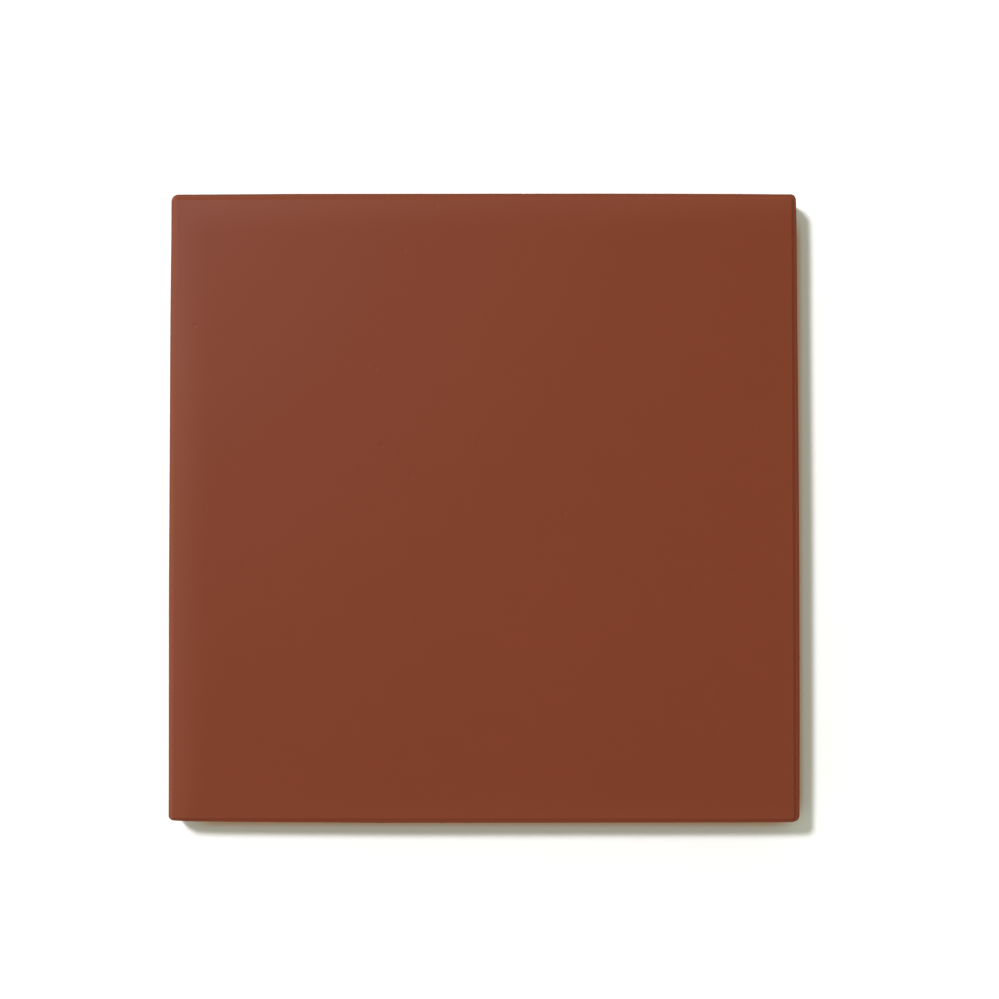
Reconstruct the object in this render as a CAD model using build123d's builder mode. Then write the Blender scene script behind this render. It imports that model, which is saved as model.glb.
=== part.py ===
from build123d import *
from math import atan2, degrees, radians, tan
import os

# A dry-pressed, unglazed clinker floor tile: one square body of vitrified red clay.
# Millimetres, +Z up. The origin is the middle of the bed face, which rests at Z = 0,
# and the wear face looks up.

# The pressed body
tile_size = 100.0  # over the upright band of the sides, along X and along Y
tile_thickness = 9.0  # bed face to wear face
corner_radius = 1.3  # upright corners, seen from above

# Around the wear face runs a bevel, and outside it the narrow level land that the punch leaves
bevel_width = 0.5  # seen from above
bevel_height = 0.42  # land to wear face
land_width = 0.45  # sides to the bevel
land_edge_radius = 0.3  # from the land into the sides

# The foot of the sides draws in, so that the tile leaves its die
foot_height = 3.0  # bed face to the start of the upright band
foot_draft = 6.0  # degrees from upright
bed_edge_radius = 0.4  # softened edge around the bed face

# The keying grid pressed into the bed face: square pockets between ribs, inside a plain rim
pockets_per_side = 6
rim_width = 3.6  # foot of the sides to the outer pockets, at the bed face
rib_width = 1.8  # crest of a rib, at the bed face
pocket_depth = 0.8
pocket_corner_radius = 1.0  # down the four corners of a pocket
pocket_draft = 25.0  # degrees from upright
pocket_floor_bevel = 0.2  # where a pocket's walls run into its floor

# Worked out from the sizes above
land_height = tile_thickness - bevel_height
bevel_base = tile_size - 2 * land_width
bevel_lean = degrees(atan2(bevel_width, bevel_height))
bed_size = tile_size - 2 * foot_height * tan(radians(foot_draft))
pocket_pitch = (bed_size - 2 * rim_width + rib_width) / pockets_per_side
pocket_size = pocket_pitch - rib_width

# The shape that presses one pocket, standing with its mouth on the bed face
with BuildPart() as pocket:
    with BuildSketch(Plane.XY):
        Rectangle(pocket_size, pocket_size)
    extrude(amount=pocket_depth, taper=pocket_draft)
    fillet(pocket.edges().group_by(Axis.Z)[1], radius=pocket_corner_radius)
    chamfer(pocket.faces().sort_by(Axis.Z)[-1].edges(), length=pocket_floor_bevel)

with BuildPart() as tile:
    # Drafted foot, from the upright band down to the bed face
    with BuildSketch(Plane.XY.offset(foot_height)) as outline:
        RectangleRounded(tile_size, tile_size, corner_radius)
    extrude(amount=-foot_height, taper=foot_draft)

    # Upright band, up to the land
    extrude(outline.sketch, amount=land_height - foot_height)

    # Softened edges of the land and of the bed face
    fillet(tile.faces().sort_by(Axis.Z)[-1].edges(), radius=land_edge_radius)
    fillet(tile.faces().sort_by(Axis.Z)[0].edges(), radius=bed_edge_radius)

    # Wear face, standing above the land on its bevel
    with BuildSketch(Plane.XY.offset(land_height)):
        RectangleRounded(bevel_base, bevel_base, corner_radius - land_width)
    extrude(amount=bevel_height, taper=bevel_lean)

    # Keying grid
    with GridLocations(pocket_pitch, pocket_pitch, pockets_per_side, pockets_per_side):
        add(pocket.part, mode=Mode.SUBTRACT)

tile.part.label = "tile"
os.makedirs("parts", exist_ok=True)
export_step(tile.part, "parts/tile.step")
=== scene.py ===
import math

import bpy
import numpy as np
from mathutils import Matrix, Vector, noise


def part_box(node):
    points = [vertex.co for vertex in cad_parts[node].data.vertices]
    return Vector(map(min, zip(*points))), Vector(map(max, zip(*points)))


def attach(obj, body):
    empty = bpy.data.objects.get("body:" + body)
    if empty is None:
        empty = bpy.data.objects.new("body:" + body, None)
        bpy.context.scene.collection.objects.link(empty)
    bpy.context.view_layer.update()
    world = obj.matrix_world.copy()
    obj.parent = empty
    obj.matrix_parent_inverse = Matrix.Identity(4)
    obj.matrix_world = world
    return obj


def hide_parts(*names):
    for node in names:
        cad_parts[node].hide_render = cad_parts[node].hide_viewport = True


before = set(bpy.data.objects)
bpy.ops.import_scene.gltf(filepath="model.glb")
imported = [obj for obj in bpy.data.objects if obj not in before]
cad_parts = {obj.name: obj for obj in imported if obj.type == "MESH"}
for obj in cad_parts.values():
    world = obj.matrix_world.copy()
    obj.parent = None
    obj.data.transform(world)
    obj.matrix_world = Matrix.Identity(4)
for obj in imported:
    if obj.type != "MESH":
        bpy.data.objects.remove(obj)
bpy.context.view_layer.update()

# A clinker tile lying on its bed face: one pressed and fired piece, seen from above.
# Lengths are in metres and angles in degrees, unless a note says otherwise.

lowCorner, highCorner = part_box("tile")
halfSide = (highCorner.x - lowCorner.x) / 2
topHeight = highCorner.z
scene = bpy.context.scene
scene.view_settings.view_transform = "Standard"


def addToScene(name, data):
    made = bpy.data.objects.new(name, data)
    scene.collection.objects.link(made)
    return made


# camera

cameraValues = {
    "place": (0.005235, -0.00831, 0.354),
    "turn": (1.574, 0.455, -0.002),
    "lens": 78.55,  # millimetres, as is the sensor
    "sensorWidth": 36,
    "clipStart": 0.01,
}


def makeCamera(values):
    data = bpy.data.cameras.new("camera")
    data.sensor_width = values["sensorWidth"]
    data.lens = values["lens"]
    data.clip_start = values["clipStart"]
    camera = addToScene("camera", data)
    camera.location = values["place"]
    camera.rotation_euler = [math.radians(angle) for angle in values["turn"]]
    scene.camera = camera


makeCamera(cameraValues)
print("camera: above the tile")


# shader maths: a wire is a node's output, and sums on wires add their own nodes

class Wire:
    def __init__(self, tree, socket=None):
        self.tree = tree
        self.socket = socket

    def node(self, kind, settings=None, inputs=None, output=0):
        made = self.tree.nodes.new(kind)
        for name, value in (settings or {}).items():
            setattr(made, name, value)
        for name, value in (inputs or {}).items():
            if isinstance(value, Wire):
                self.tree.links.new(value.socket, made.inputs[name])
            else:
                made.inputs[name].default_value = value
        return Wire(self.tree, made.outputs[output] if made.outputs else None)

    def output(self, name):
        return Wire(self.tree, self.socket.node.outputs[name])

    def sum(self, operation, left, right):
        wires = [side for side in (left, right) if isinstance(side, Wire)]
        if all(wire.socket.type == "VALUE" for wire in wires):
            return self.node("ShaderNodeMath", {"operation": operation}, {0: left, 1: right})
        left, right = [side if isinstance(side, Wire) else (side,) * 3 for side in (left, right)]
        return self.node("ShaderNodeVectorMath", {"operation": operation}, {0: left, 1: right})

    def __add__(self, other):
        return self.sum("ADD", self, other)

    def __radd__(self, other):
        return self.sum("ADD", other, self)

    def __sub__(self, other):
        return self.sum("SUBTRACT", self, other)

    def __rsub__(self, other):
        return self.sum("SUBTRACT", other, self)

    def __mul__(self, other):
        return self.sum("MULTIPLY", self, other)

    def __rmul__(self, other):
        return self.sum("MULTIPLY", other, self)

    def atLeast(self, other):
        return self.sum("MAXIMUM", self, other)

    def atMost(self, other):
        return self.sum("MINIMUM", self, other)

    def size(self):
        return self.node("ShaderNodeMath", {"operation": "ABSOLUTE"}, {0: self})

    def between(self, noneAt, fullAt):
        # 0 where this wire's number is noneAt, and 1 where it is fullAt
        return self.node("ShaderNodeMapRange", {"interpolation_type": "SMOOTHSTEP"},
                         {"Value": self, "From Min": noneAt, "From Max": fullAt})

    def mixed(self, left, right):
        # this wire is the factor: 0 gives the left colour and 1 the right one
        return self.node("ShaderNodeMix", {"data_type": "RGBA"}, {0: self, 6: left, 7: right}, 2)


def emptyTree(owner):
    owner.use_nodes = True
    owner.node_tree.nodes.clear()
    return Wire(owner.node_tree)


# studio: a pale floor, one soft key light from the upper left, and a weak warm fill all round

studioValues = {
    "keyToward": (-0.3245, 0.2922, 0.9),  # from the tile to the light
    "keyDistance": 1.2,
    "keyWidth": 0.14,
    "keyPower": 11.6,  # watts
    "keyColour": (0.94, 0.94, 1.0),
    "fill": (0.445, 0.465, 0.355),
    "fillToward": (-0.3, 0.36, 0),  # where the fill is brighter, and by how much
    "floorColour": (0.96, 0.96, 0.96),
    "floorLift": 0.065,  # added where the camera or a reflection sees the floor
    "bounceShadeColour": (0.79, 0.5, 0.26),  # the floor beside the tile: painted shade and painted red bounce light from its sides
    "bounceShadeReach": (0.0019, 0.0009),  # distances beyond the sides: where it begins, and full
    "bounceShadeUnder": (-0.001, 0),  # and under the tile, where it is hidden
    "bounceShadeFade": 0.0002,  # over this length it ends at the edge of the shade
    "bounceShadeMiddle": 0.0015,  # along the sides, away from the key: where its middle lies
    "bounceShadeEnds": (0.0502, 0.0445),  # and from there, where it ends, and where it is full
    "floorReach": 3.0,
    "floorOpening": 0.0487,  # half the opening under the tile, which shows the bed face from below
    "floorGap": 0.00002,
}


def makeKeyLight(values):
    data = bpy.data.lights.new("key", "AREA")
    data.shape = "SQUARE"
    data.size = values["keyWidth"]
    data.energy = values["keyPower"]
    data.color = values["keyColour"]
    light = addToScene("key", data)
    toward = Vector(values["keyToward"]).normalized()
    light.location = toward * values["keyDistance"]
    light.rotation_euler = toward.to_track_quat("Z", "Y").to_euler()


def makeWorld(values):
    world = bpy.data.worlds.new("studio")
    scene.world = world
    start = emptyTree(world)
    rays = start.node("ShaderNodeLightPath", output="Is Camera Ray")
    direction = start.node("ShaderNodeTexCoord", output="Generated")
    slant = direction.node("ShaderNodeVectorMath", {"operation": "DOT_PRODUCT"},
                           {0: direction, 1: values["fillToward"]}, "Value")
    fill = start.node("ShaderNodeBackground",
                      inputs={"Color": (*values["fill"], 1), "Strength": 1 + slant})
    seen = start.node("ShaderNodeBackground", inputs={"Color": (1, 1, 1, 1), "Strength": 1})
    shader = start.node("ShaderNodeMixShader", inputs={0: rays, 1: fill, 2: seen})
    start.node("ShaderNodeOutputWorld", inputs={"Surface": shader})


def floorMaterial(values):
    material = bpy.data.materials.new("floor")
    start = emptyTree(material)
    rays = start.node("ShaderNodeLightPath", output="Is Camera Ray")
    seen = rays.atLeast(rays.output("Is Glossy Ray")).atLeast(rays.output("Is Transmission Ray"))
    position = start.node("ShaderNodeNewGeometry", output="Position")
    place = start.node("ShaderNodeSeparateXYZ", inputs={0: position})
    x, y = place.output("X"), place.output("Y")
    toX, toY = values["keyToward"][:2]
    shadeEdge = halfSide * (toY - toX)
    shaded = (x * toY - y * toX).size().between(shadeEdge, shadeEdge - values["bounceShadeFade"])
    beside = x.atLeast(0 - y) - halfSide
    along = (x - values["bounceShadeMiddle"]).size().atMost((y + values["bounceShadeMiddle"]).size())
    # painted contact shade and painted red bounce light on the floor, beside the tile's sides where its
    # shadow falls
    bounceShade = beside.between(*values["bounceShadeReach"]) * beside.between(*values["bounceShadeUnder"]) * shaded
    bounceShade = bounceShade * along.between(*values["bounceShadeEnds"])
    colour = bounceShade.mixed((*values["floorColour"], 1), (*values["bounceShadeColour"], 1))
    paper = start.node("ShaderNodeBsdfDiffuse", inputs={"Color": colour})
    lift = start.node("ShaderNodeEmission", inputs={"Strength": seen * values["floorLift"]})
    lit = start.node("ShaderNodeAddShader", inputs={0: paper, 1: lift})
    clear = start.node("ShaderNodeBsdfTransparent")
    shader = start.node("ShaderNodeMixShader",
                        inputs={0: position.output("Backfacing"), 1: lit, 2: clear})
    start.node("ShaderNodeOutputMaterial", inputs={"Surface": shader})
    return material


def makeFloor(values):
    reach, opening = values["floorReach"], values["floorOpening"]
    turns = [(-1, -1), (1, -1), (1, 1), (-1, 1)]
    corners = [(x * size, y * size, -values["floorGap"]) for size in (reach, opening) for x, y in turns]
    faces = [(k, (k + 1) % 4, 4 + (k + 1) % 4, 4 + k) for k in range(4)]
    mesh = bpy.data.meshes.new("floor")
    mesh.from_pydata(corners, [], faces)
    mesh.materials.append(floorMaterial(values))
    addToScene("floor", mesh)


makeKeyLight(studioValues)
makeWorld(studioValues)
makeFloor(studioValues)
print("studio: key light, fill and floor")


# tile: its section, from the wear face round the side to the bed face, and the keying grid below

tileValues = {
    # of the upper edge, seen from above: anticlockwise from the front left corner
    "cornerRadii": (0.0012, 0.0014, 0.00125, 0.00133),
    "lowerCorners": 0.15,  # share of these radii that is left lower down
    "cornerHeight": (0.006, 0.0082),  # above the bed: where they begin to grow, and full
    "leastRadius": 0.0001,  # they are never smaller, also in the innermost rings
    "bevelWidth": 0.0005,  # round the wear face
    "bevelHeight": 0.00042,
    "bevelEdgeRadius": 0.00012,
    "landWidth": 0.00045,  # the level strip outside the bevel
    "landEdgeRadius": 0.0003,  # the land into the sides
    "punchShift": (-0.00018, -0.00014),  # wear face and bevel sit a little off the middle
    "footHeight": 0.003,  # bed face to the upright band
    "footDraft": 6.0,
    "footBendRadius": 0.004,
    "bedEdgeRadius": 0.0004,
    "arcCells": (3, 3, 6, 2, 5),  # bevel, land, edge of the land, bend above the foot, bed edge
    "cornerCells": 6,  # cells over half of an upright corner
    "bandCell": 0.0012,  # longest cell down the sides
    "wearRim": (0.45, 0.8, 0.96),  # rings between the wear face's grid and the bevel
    "bedRim": (0.94, 0.5),  # rings between the bed edge and the bed face's grid
}

pocketValues = {
    "perSide": 6,
    "rimWidth": 0.0036,  # foot of the sides to the outer pockets
    "ribWidth": 0.0018,
    "depth": 0.0008,
    "draft": 25.0,
    "cornerRadius": 0.001,
    "mouthRadius": 0.00015,
    "floorRadius": 0.0003,
    "arcCells": (2, 2),  # mouth and floor
    "cornerCells": 3,  # on the floor, over the reach of the corner radius
    "floorCells": 5,  # from there to the middle
}

reliefValues = {
    # how far each side draws in, at places along it in the axis's direction
    "sideLines": {
        "right": ((-0.046, 0.0001), (-0.034, 0.00003), (0, 0.00002),
                  (0.043, 0.00023), (0.05, 0.00028)),
        "back": ((-0.046, 0.00012), (-0.03, 0.00004), (0.018, 0.00005),
                 (0.041, 0.00014), (0.047, 0.00021)),
        "left": ((-0.046, 0.0001), (-0.035, 0.00007), (-0.014, 0),
                 (0.03, 0.00005), (0.043, 0.00015)),
        "front": ((-0.046, 0.00025), (-0.032, 0.00014), (-0.016, 0.00006),
                  (0.041, 0.00016), (0.047, 0.0002)),
    },
    # upper edges that are worn towards a corner: the side, which end of it, and how far
    "wornEnds": (("front", -1, 0.00028), ("front", 1, 0.00008),
                 ("right", 1, 0.0001), ("right", -1, 0.00004)),
    "wornReach": (0.004, 0.001),  # from the corner: where it begins, and full
    "wornHeight": (0.008, 0.0086),  # above the bed: where it begins, and full
    # nicks and crumbs in the upper edges: the side, the place along it, how far in and half the width
    "nicks": (("back", 0.0063, 0.0001, 0.00018), ("front", -0.00654, -0.00008, 0.0004)),
    "nickCells": 6,
    "frontEase": 0.3,  # the share by which the bevel along the front is less deep
    "frontHeight": (0.0072, 0.0083),  # above the bed: where that begins, and full
    "frontReach": 0.001,  # from the corners: over this length it sets in
    "crownDepth": 0.0001,  # the wear face falls away by this much towards its edges
    "crownReach": 0.005,
    "wave": ((0.028, 0.000012), (0.006, 0.000002)),  # length and height of the wear face's waves
    "sideWave": (0.009, 0.00002),
}


def roundedPath(points, radii, cells):
    # the line through these points, with its inner corners as arcs
    points = [Vector(point) for point in points]
    path = [points[0]]
    for before, corner, after, radius, count in zip(points, points[1:], points[2:], radii, cells):
        back = (before - corner).normalized()
        onward = (after - corner).normalized()
        halfAngle = back.angle(onward) / 2
        centre = corner + (back + onward).normalized() * (radius / math.sin(halfAngle))
        reach = radius / math.tan(halfAngle)
        start = (corner + back * reach - centre).normalized()
        end = (corner + onward * reach - centre).normalized()
        path += [centre + radius * start.slerp(end, step / count) for step in range(count + 1)]
    return path + [points[-1]]


def splitRuns(path, longest):
    finer = [path[0]]
    for before, after in zip(path, path[1:]):
        parts = max(1, math.ceil((after - before).length / longest))
        finer += [before.lerp(after, part / parts) for part in range(1, parts + 1)]
    return finer


footInset = tileValues["footHeight"] * math.tan(math.radians(tileValues["footDraft"]))
bedHalf = halfSide - footInset
ribHalf = pocketValues["ribWidth"] / 2
gridHalf = bedHalf - pocketValues["rimWidth"] + ribHalf  # half of each face's regular grid
pitch = 2 * gridHalf / pocketValues["perSide"]


def pocketSection(values):
    # from the middle of a rib to the middle of a pocket: distance inside the mouth, and height
    wallWidth = values["depth"] * math.tan(math.radians(values["draft"]))
    corners = [(-ribHalf, 0), (0, 0), (wallWidth, values["depth"]),
               (pitch / 2 - ribHalf, values["depth"])]
    return roundedPath(corners, (values["mouthRadius"], values["floorRadius"]), values["arcCells"])


def gridLines(values, section, relief):
    # the lines of the grid along one side, close together at the walls of the pockets and at the nicks
    stops = [point.x + ribHalf for point in section]
    wallEnd = stops[-2]
    cornerEnd = wallEnd + values["cornerRadius"]
    stops[-1:] = np.linspace(wallEnd, cornerEnd, values["cornerCells"] + 1)[1:].tolist()
    stops += np.linspace(cornerEnd, pitch / 2, values["floorCells"] + 1)[1:].tolist()
    onePitch = stops + [pitch - stop for stop in reversed(stops[:-1])]
    starts = [-gridHalf + pitch * number for number in range(values["perSide"])]
    lines = [start + stop for start in starts for stop in onePitch[:-1]]
    for side, place, depth, reach in relief["nicks"]:
        lines += [(place + reach * step) * gridHalf / halfSide
                  for step in np.linspace(-1, 1, relief["nickCells"] + 1)]
    return np.sort(lines + [gridHalf])


def roundPockets(x, y, values, section):
    # bends the grid's lines round the corners of the pockets, and sinks the pockets
    folded = []
    for line in (x, y):
        along = np.mod(line + gridHalf, pitch)
        folded.append((np.minimum(along, pitch - along) - ribHalf, np.where(along < pitch / 2, 1, -1)))
    (insideX, signX), (insideY, signY) = folded
    inside = np.minimum(insideX, insideY)
    along = np.maximum(insideX, insideY) - inside
    mouth, wallEnd = section[1].x, section[-2].x
    full = values["cornerRadius"]
    radius = np.interp(inside, [-ribHalf, mouth, wallEnd, wallEnd + full], [0, full, full, 0])
    share = np.clip(1 - along / np.maximum(radius, 1e-9), 0, 1)
    angle = share * math.pi / 4
    nearMove = radius * (1 - np.cos(angle))
    farMove = np.where(share > 0, radius * (1 - np.sin(angle)) - along, 0)
    xIsNear = insideX <= insideY
    x = x + signX * np.where(xIsNear, nearMove, farMove)
    y = y + signY * np.where(xIsNear, farMove, nearMove)
    height = np.interp(inside, [point.x for point in section], [point.y for point in section])
    return x, y, height


def aroundTile(sides, height):
    # one ring of the four sides' points, with the front side first and each turned to its place
    ring = []
    for number, (along, out) in enumerate(sides):
        x, y = along[:-1], -out[:-1]
        for turn in range(number):
            x, y = -y, x
        ring.append(np.column_stack([x, y, np.full(len(x), height)]))
    return np.concatenate(ring)


def outlineRing(lines, inset, height, values):
    # a ring of points on the tile's outline, drawn in by the inset
    share = np.interp(height, values["cornerHeight"], (values["lowerCorners"], 1))
    radii = [max(radius * share - inset, values["leastRadius"]) for radius in values["cornerRadii"]]
    count = values["cornerCells"]
    angle = math.pi / 4 * (1 - np.arange(count) / count)
    reach = halfSide - inset
    sides = []
    for first, last in zip(radii, radii[1:] + radii[:1]):
        along = np.interp(lines, (lines[count], lines[-1 - count]), (first - reach, reach - last))
        out = np.full(len(lines), reach)
        along[:count] = first - reach - first * np.sin(angle)
        out[:count] = reach - first + first * np.cos(angle)
        along[-count:] = (reach - last + last * np.sin(angle))[::-1]
        out[-count:] = (reach - last + last * np.cos(angle))[::-1]
        sides.append((along, out))
    return aroundTile(sides, height)


def gridBorder(index):
    return np.concatenate([index[:-1, 0], index[-1, :-1], index[:0:-1, -1], index[0, :0:-1]])


def gridFaces(index):
    cells = [index[:-1, :-1], index[1:, :-1], index[1:, 1:], index[:-1, 1:]]
    return np.stack(cells, axis=-1).reshape(-1, 4)


def bandFaces(inner, outer):
    return np.stack([inner, outer, np.roll(outer, -1), np.roll(inner, -1)], axis=-1)


def punchShift(point, values):
    # the punch that presses the wear face and its bevel doesn't sit quite in the middle of the die
    held = values["landEdgeRadius"] / 2
    share = np.clip((point.x - held) / (values["landWidth"] - held), 0, 1) * (point.y > topHeight / 2)
    return share * np.array([*values["punchShift"], 0])


def tilePoints(values, pockets, relief):
    # every point of the tile, as the wear face's grid, the rings round the side and the bed face's grid
    section = pocketSection(pockets)
    lines = gridLines(pockets, section, relief)
    x, y = np.meshgrid(lines, lines, indexing="ij")
    shift = [*values["punchShift"], 0]
    wear = np.column_stack([x.ravel(), y.ravel(), np.full(x.size, topHeight)]) + shift
    bed = np.column_stack([part.ravel() for part in roundPockets(x, y, pockets, section)])

    land = values["landWidth"]
    bevelTop = land + values["bevelWidth"]
    landHeight = topHeight - values["bevelHeight"]
    corners = [(bevelTop + values["bevelEdgeRadius"], topHeight), (bevelTop, topHeight),
               (land, landHeight), (0, landHeight), (0, values["footHeight"]),
               (footInset, 0), (footInset + values["bedEdgeRadius"], 0)]
    radii = (values["bevelEdgeRadius"], values["bevelEdgeRadius"], values["landEdgeRadius"],
             values["footBendRadius"], values["bedEdgeRadius"])
    path = splitRuns(roundedPath(corners, radii, values["arcCells"])[1:-1], values["bandCell"])
    side = [outlineRing(lines, point.x, point.y, values) + punchShift(point, values) for point in path]

    gridSides = [(lines, np.full(len(lines), gridHalf))] * 4
    wearEdge = aroundTile(gridSides, topHeight) + shift
    bedEdge = aroundTile(gridSides, 0)
    wearRim = [wearEdge + (side[0] - wearEdge) * share for share in values["wearRim"]]
    bedRim = [bedEdge + (side[-1] - bedEdge) * share for share in values["bedRim"]]
    return lines, wear, wearRim + side + bedRim, bed


def tileFaces(count, rings):
    wear = np.arange(count * count).reshape(count, count)
    loops = [gridBorder(wear)]
    for number in range(rings):
        loops.append(count * count + 4 * (count - 1) * number + np.arange(4 * (count - 1)))
    bed = loops[-1][-1] + 1 + wear
    loops.append(gridBorder(bed))
    bands = [bandFaces(inner, outer) for inner, outer in zip(loops, loops[1:])]
    return np.concatenate([gridFaces(wear), *bands, gridFaces(bed)[:, ::-1]])


def drawInSides(points, values, bevelTop):
    # the sides aren't quite straight, though the wear face inside the bevel is
    nearTop = np.interp(points[:, 2], values["wornHeight"], (0, 1))
    for name, axis, sign in (("right", 0, 1), ("back", 1, 1), ("left", 0, -1), ("front", 1, -1)):
        along = points[:, 1 - axis]
        places, depths = zip(*values["sideLines"][name])
        depth = np.interp(along, places, depths)
        for side, end, worn in values["wornEnds"]:
            if side == name:
                fromEnd = halfSide - end * along
                depth += worn * nearTop * np.interp(fromEnd, values["wornReach"][::-1], (1, 0))
        for side, place, nick, reach in values["nicks"]:
            if side == name:
                depth += nick * nearTop * np.clip(1 - ((along - place) / reach) ** 2, 0, 1)
        inset = halfSide - sign * points[:, axis]
        points[:, axis] -= sign * depth * np.clip(1 - inset / bevelTop, 0, 1)


def easeFrontBevel(points, values):
    # along the front the punch went in less deep
    fromEnds = halfSide - np.abs(points[:, 0])
    fromFront = halfSide + points[:, 1]
    share = np.clip((fromEnds - fromFront) / values["frontReach"], 0, 1)
    share *= values["frontEase"] * np.interp(points[:, 2], values["frontHeight"], (0, 1))
    points[:, 2] += share * (topHeight - points[:, 2])


def crownWearFace(points, values, bevelTop):
    inward = halfSide - np.abs(points[:, :2]) - bevelTop
    share = np.clip(1 - inward / values["crownReach"], 0, 1) ** 2
    fall = 1 - (1 - share[:, 0]) * (1 - share[:, 1])
    points[:, 2] -= values["crownDepth"] * fall * points[:, 2] / topHeight


def waveSurface(mesh, values):
    # sinks the surface by a little, unevenly, so that it never leaves its nominal size
    normals = np.zeros(len(mesh.vertices) * 3)
    mesh.vertices.foreach_get("normal", normals)
    normals = normals.reshape(-1, 3)
    for vertex, normal in zip(mesh.vertices, normals):
        up = max(normal[2], 0)
        waves = [(length, height * up) for length, height in values["wave"]]
        waves.append((values["sideWave"][0], values["sideWave"][1] * (1 - up)))
        sink = sum(height * (0.5 + 0.5 * noise.noise(vertex.co / length)) for length, height in waves)
        vertex.co -= Vector(normal) * sink


def makeTile(values, pockets, relief):
    lines, wear, rings, bed = tilePoints(values, pockets, relief)
    points = np.concatenate([wear, *rings, bed])
    bevelTop = values["landWidth"] + values["bevelWidth"]
    drawInSides(points, relief, bevelTop)
    easeFrontBevel(points, relief)
    crownWearFace(points, relief, bevelTop)
    mesh = bpy.data.meshes.new("tile_body")
    mesh.from_pydata(points.tolist(), [], tileFaces(len(lines), len(rings)).tolist())
    waveSurface(mesh, relief)
    mesh.shade_smooth()
    mesh.validate()
    return addToScene("tile_body", mesh)


tile = makeTile(tileValues, pocketValues, reliefValues)
print("tile:", len(tile.data.vertices), "points,", 2 * len(tile.data.polygons), "triangles")


# fired clay: a vitrified red body, matt, with a fine grain and a few specks and pits

clayValues = {
    "colour": (0.1875, 0.0412, 0.0188),
    "glareColour": (0.55, 0.26, 0.18),  # painted glare: a thin pale haze of light near the edges, strongest along the left, which faces the key light
    # its side as axis and sign, its reach, its strength, and the share of that which holds at the back
    "glareSides": (("X", -1, 0.009, 0.06, 0.2), ("X", -1, 0.0024, 0.155, 1),
             ("Y", 1, 0.009, 0.036, 1), ("Y", -1, 0.009, 0.02, 1), ("X", 1, 0.009, 0.014, 1)),
    "glareBack": (0.02, 0.046),  # from the middle to the back: where that share begins, and holds
    "cloudSize": 0.03,
    "cloudStrength": 0.03,
    "mottleSize": 0.004,
    "mottleStrength": 0.02,
    "landTone": 0.92,  # the land is fired a little darker along all sides but the front
    "landReach": (0.0006, 0.0004),  # from the sides: where that begins, and full
    "speckColour": (0.15, 0.034, 0.015),
    "speckSpacing": 0.0025,
    "speckRadius": 0.0003,
    "speckStrength": 0.25,
    "spotCore": 0.3,  # share of the radius over which specks and pits are full
    "roughness": 0.38,
    "roughnessSpread": 0.06,
    "specularLevel": 0.055,  # unglazed clay reflects little
    "peelSize": 0.0016,  # the press leaves a very faint orange peel
    "peelHeight": 0.0000013,
    "grainSize": 0.0003,
    "grainHeight": 0.0000004,
    "pitSpacing": 0.006,
    "pitRadius": 0.0004,
    "pitDepth": 0.00002,
}

bedValues = {
    "reach": (0.0018, 0.0009),  # heights between which the sides turn into the bed's finish
    "paleColour": (0.245, 0.068, 0.03),
    "paleShare": 0.35,
    "roughness": 0.12,  # on top of the wear face's
    "grainSize": 0.0005,
    "grainHeight": 0.000006,
}


def noiseOver(place, size, detail=2):
    inputs = {"Vector": place, "Scale": 1 / size, "Detail": detail}
    return place.node("ShaderNodeTexNoise", inputs=inputs) - 0.5


def spotsOver(place, spacing, radius, core):
    # 1 in the middle of scattered spots and 0 around them
    distance = place.node("ShaderNodeTexVoronoi", inputs={"Vector": place, "Scale": 1 / spacing})
    return distance.between(radius / spacing, core * radius / spacing)


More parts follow.
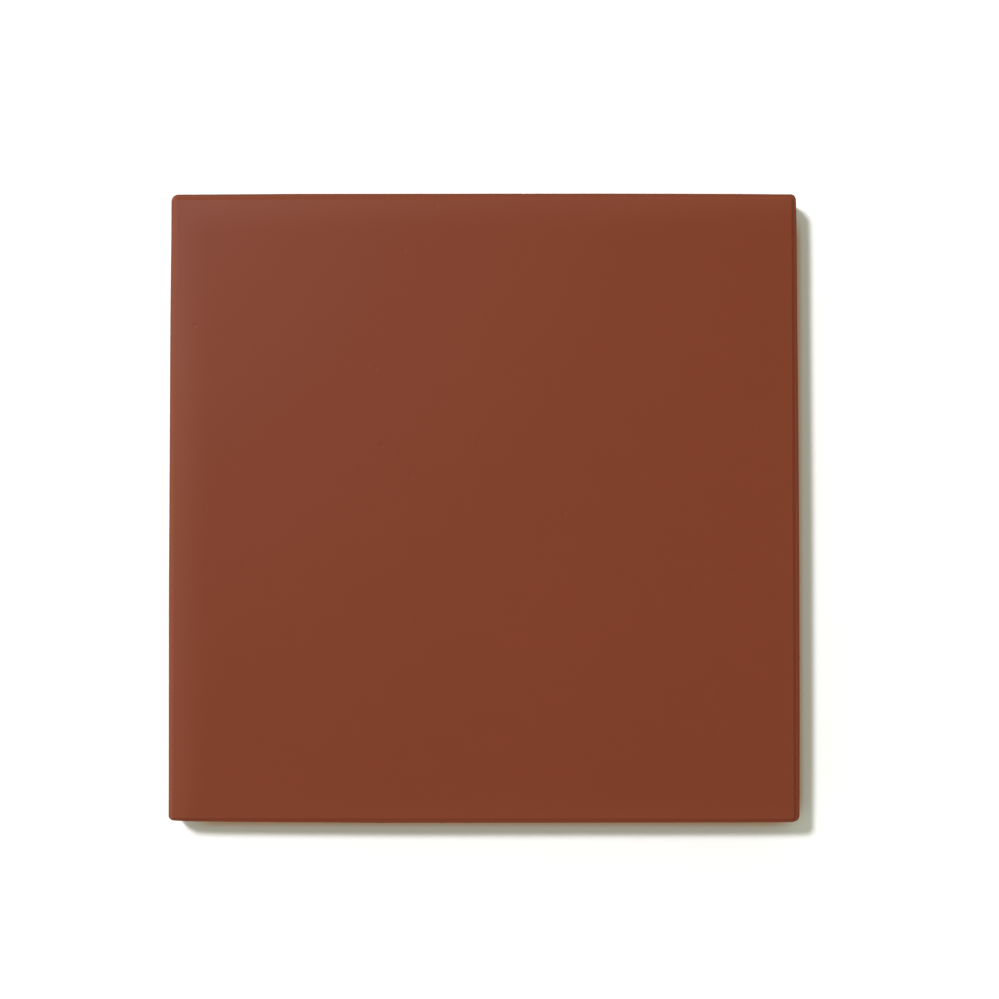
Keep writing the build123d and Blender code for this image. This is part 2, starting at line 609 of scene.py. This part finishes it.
# painted glare: the base colour paler near the edges, most on the sides that face the light
def paintedEdgeGlare(parts, values):
    glare = None
    atBack = parts.output("Y").between(*values["glareBack"])
    for axis, sign, reach, strength, backShare in values["glareSides"]:
        near = (parts.output(axis) * sign).between(halfSide - reach, halfSide)
        side = near * near * strength * (1 - atBack * (1 - backShare))
        glare = glare.atLeast(side) if glare else side
    return glare


def clayMaterial(values, bed):
    material = bpy.data.materials.new("fired_clay")
    start = emptyTree(material)
    place = start.node("ShaderNodeTexCoord", output="Object")
    parts = place.node("ShaderNodeSeparateXYZ", inputs={0: place})
    onBed = parts.output("Z").between(*bed["reach"])
    clouds = noiseOver(place, values["cloudSize"])
    mottle = noiseOver(place, values["mottleSize"], detail=4)
    peel = noiseOver(place, values["peelSize"])
    grain = noiseOver(place, values["grainSize"])
    bedGrain = noiseOver(place, bed["grainSize"], detail=4)

    tone = 1 + clouds * values["cloudStrength"] + mottle * values["mottleStrength"]
    fromSides = halfSide - parts.output("X").size().atLeast(parts.output("Y"))
    tone = tone - fromSides.between(*values["landReach"]) * (1 - values["landTone"])
    specks = spotsOver(place, values["speckSpacing"], values["speckRadius"], values["spotCore"])
    body = (specks * values["speckStrength"]).mixed((*values["colour"], 1), (*values["speckColour"], 1))
    # painted glare near the edges, mixed into the body colour
    body = paintedEdgeGlare(parts, values).mixed(body, (*values["glareColour"], 1))
    paint = (onBed * (bed["paleShare"] + mottle)).mixed(body, (*bed["paleColour"], 1)) * tone
    roughness = values["roughness"] + mottle * values["roughnessSpread"] + onBed * bed["roughness"]

    pits = spotsOver(place, values["pitSpacing"], values["pitRadius"], values["spotCore"])
    relief = peel * values["peelHeight"] + grain * values["grainHeight"] - pits * values["pitDepth"]
    relief = relief + onBed * bedGrain * bed["grainHeight"]
    normal = start.node("ShaderNodeBump", inputs={"Height": relief, "Distance": 1, "Strength": 1})
    shader = start.node("ShaderNodeBsdfPrincipled",
                        inputs={"Base Color": paint, "Roughness": roughness, "Normal": normal,
                                "Specular IOR Level": values["specularLevel"]})
    start.node("ShaderNodeOutputMaterial", inputs={"Surface": shader})
    return material


tile.data.materials.append(clayMaterial(clayValues, bedValues))
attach(tile, "root")
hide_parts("tile")
print("fired clay: on the tile")
